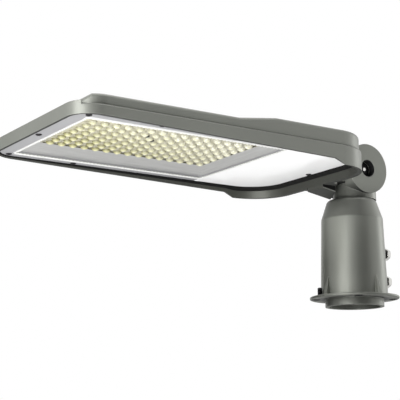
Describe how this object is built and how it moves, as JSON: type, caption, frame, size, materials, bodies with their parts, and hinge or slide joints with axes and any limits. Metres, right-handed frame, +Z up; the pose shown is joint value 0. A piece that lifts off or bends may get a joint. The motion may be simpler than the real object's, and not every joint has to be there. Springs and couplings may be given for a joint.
{
  "type": "led street light",
  "caption": "Slim tilting street light head with a recessed lens field under its front and a gear compartment behind, on a clamp-on spigot for a round pole.",
  "frame": {"origin": "centre of the pole socket's mouth, at the lower end of the spigot's collar", "axes": "+Z up the pole, head reaching towards -X, tilt axis along Y"},
  "size_m": [0.4838, 0.215, 0.195],
  "materials": {
    "cast_grey_paint": "powder coat, fine texture",
    "stainless": "bright",
    "grey_rubber": "matte",
    "black_rubber": "matte",
    "white_silicone": "matte",
    "light_grey_plate": "satin paint",
    "black_steel": "black oxide",
    "white_gloss_plate": "gloss paint",
    "satin_aluminium": "satin",
    "clear_lens": "clear gloss",
    "emitter_phosphor": "matte",
    "white_board": "white solder mask",
    "driver_case": "satin",
    "white_plastic": "matte",
    "black_plastic": "matte",
    "black_sheath": "matte"
  },
  "bodies": {
    "spigot": {"spigot": "cast_grey_paint", "clamp_screw_upper": "stainless", "clamp_screw_lower": "stainless", "clamp_nuts": "black_steel", "earth_stud": "black_steel", "pivot_bolt": "black_steel", "pivot_nut": "black_steel", "pivot_washers": "black_steel"},
    "head": {"body_frame": "cast_grey_paint", "top_cover": "cast_grey_paint", "cover_gasket": "grey_rubber", "panel_seal": "black_rubber", "window_trim": "white_silicone", "lens_gasket": "white_silicone", "cover_screws": "stainless", "window_bezel": "light_grey_plate", "bezel_screws": "black_steel", "door_screws": "black_steel", "gear_door": "white_gloss_plate", "reflector_tray": "satin_aluminium", "lens_plate": "clear_lens", "lens_screws": "black_steel", "emitters": "emitter_phosphor", "led_board": "white_board", "heat_spreader": "satin_aluminium", "led_driver": "driver_case", "driver_screws": "stainless", "surge_protector": "white_plastic", "terminal_block": "white_plastic", "cable_gland": "black_plastic", "gland_nut": "black_plastic", "supply_lead": "black_sheath", "driver_leads": "black_sheath", "board_leads": "black_sheath"}
  },
  "joints": [
    {"name": "head_tilt", "type": "hinge", "parent": "spigot", "child": "head", "pos_m": [0.0035, 0, 0.165], "axis": [0, 1, 0], "range_deg": [0, 90]}
  ]
}
